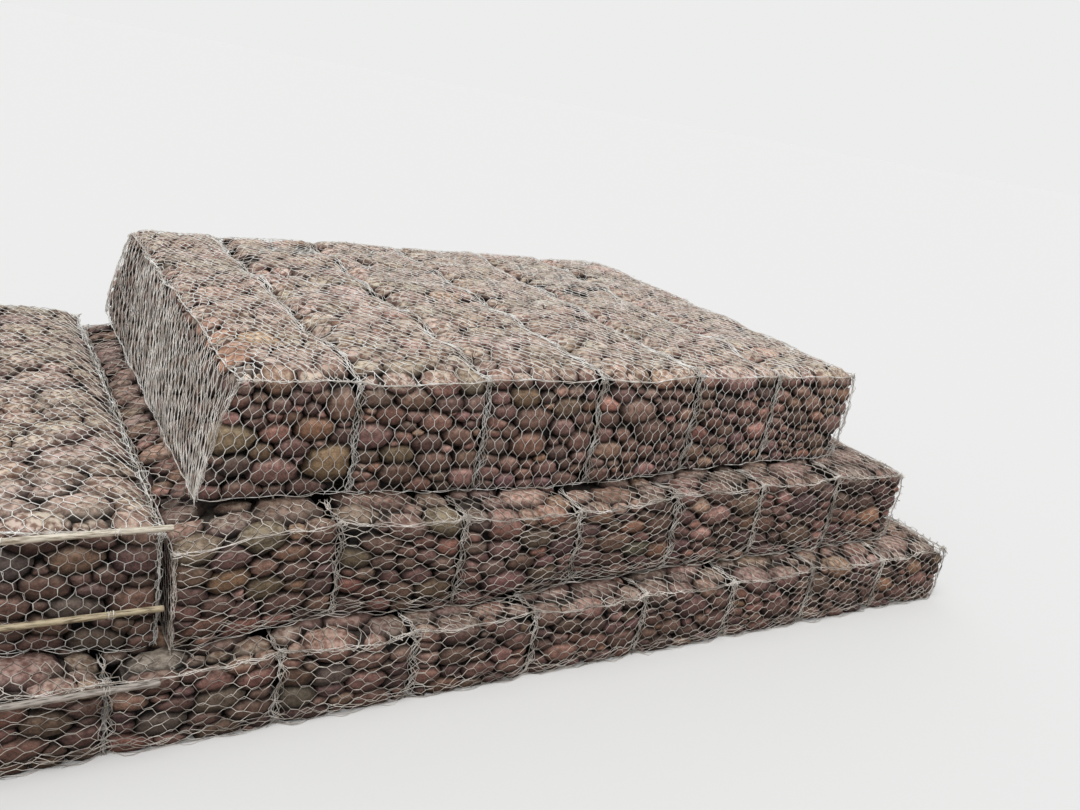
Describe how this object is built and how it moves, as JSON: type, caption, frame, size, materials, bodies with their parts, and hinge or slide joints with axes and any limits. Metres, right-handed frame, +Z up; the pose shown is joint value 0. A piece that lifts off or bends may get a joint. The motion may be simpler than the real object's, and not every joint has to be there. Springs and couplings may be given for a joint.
{
  "type": "stone-filled gabion mattress wall",
  "caption": "Stepped bank wall of stone-filled gabion mattresses: wire mesh boxes of river cobbles in three courses, with laced seams and lashed bracing poles",
  "frame": {"origin": "under the middle of the wall, on the plane that the base course rests on", "axes": "X runs along the wall, Y runs from the stepped front into the bank, Z is up"},
  "size_m": [10, 5.4326, 2.325],
  "materials": {
    "river_cobble": "rough, dusty river cobbles",
    "galvanised_wire": "dull galvanised",
    "bracing_pole": "weathered, bark removed"
  },
  "bodies": {
    "root": {"base_cage_wires": "galvanised_wire", "base_stone_fill_1": "river_cobble", "base_stone_fill_10": "river_cobble", "base_stone_fill_2": "river_cobble", "base_stone_fill_3": "river_cobble", "base_stone_fill_4": "river_cobble", "base_stone_fill_5": "river_cobble", "base_stone_fill_6": "river_cobble", "base_stone_fill_7": "river_cobble", "base_stone_fill_8": "river_cobble", "base_stone_fill_9": "river_cobble", "bracing_pole_lower": "bracing_pole", "bracing_pole_middle": "bracing_pole", "bracing_pole_upper": "bracing_pole", "middle_cage_wires": "galvanised_wire", "middle_stone_fill_1": "river_cobble", "middle_stone_fill_2": "river_cobble", "middle_stone_fill_3": "river_cobble", "middle_stone_fill_4": "river_cobble", "middle_stone_fill_5": "river_cobble", "middle_stone_fill_6": "river_cobble", "middle_stone_fill_7": "river_cobble", "pole_lashings_lower": "galvanised_wire", "pole_lashings_middle": "galvanised_wire", "pole_lashings_upper": "galvanised_wire", "top_cage_wires": "galvanised_wire", "top_front_mesh_1": "galvanised_wire", "top_front_mesh_2": "galvanised_wire", "top_stone_fill_1": "river_cobble", "top_stone_fill_2": "river_cobble", "top_stone_fill_3": "river_cobble", "top_stone_fill_4": "river_cobble", "top_stone_fill_5": "river_cobble", "top_stone_fill_6": "river_cobble", "wing_cage_wires": "galvanised_wire", "wing_stone_fill_1": "river_cobble", "wing_stone_fill_2": "river_cobble"}
  },
  "joints": []
}
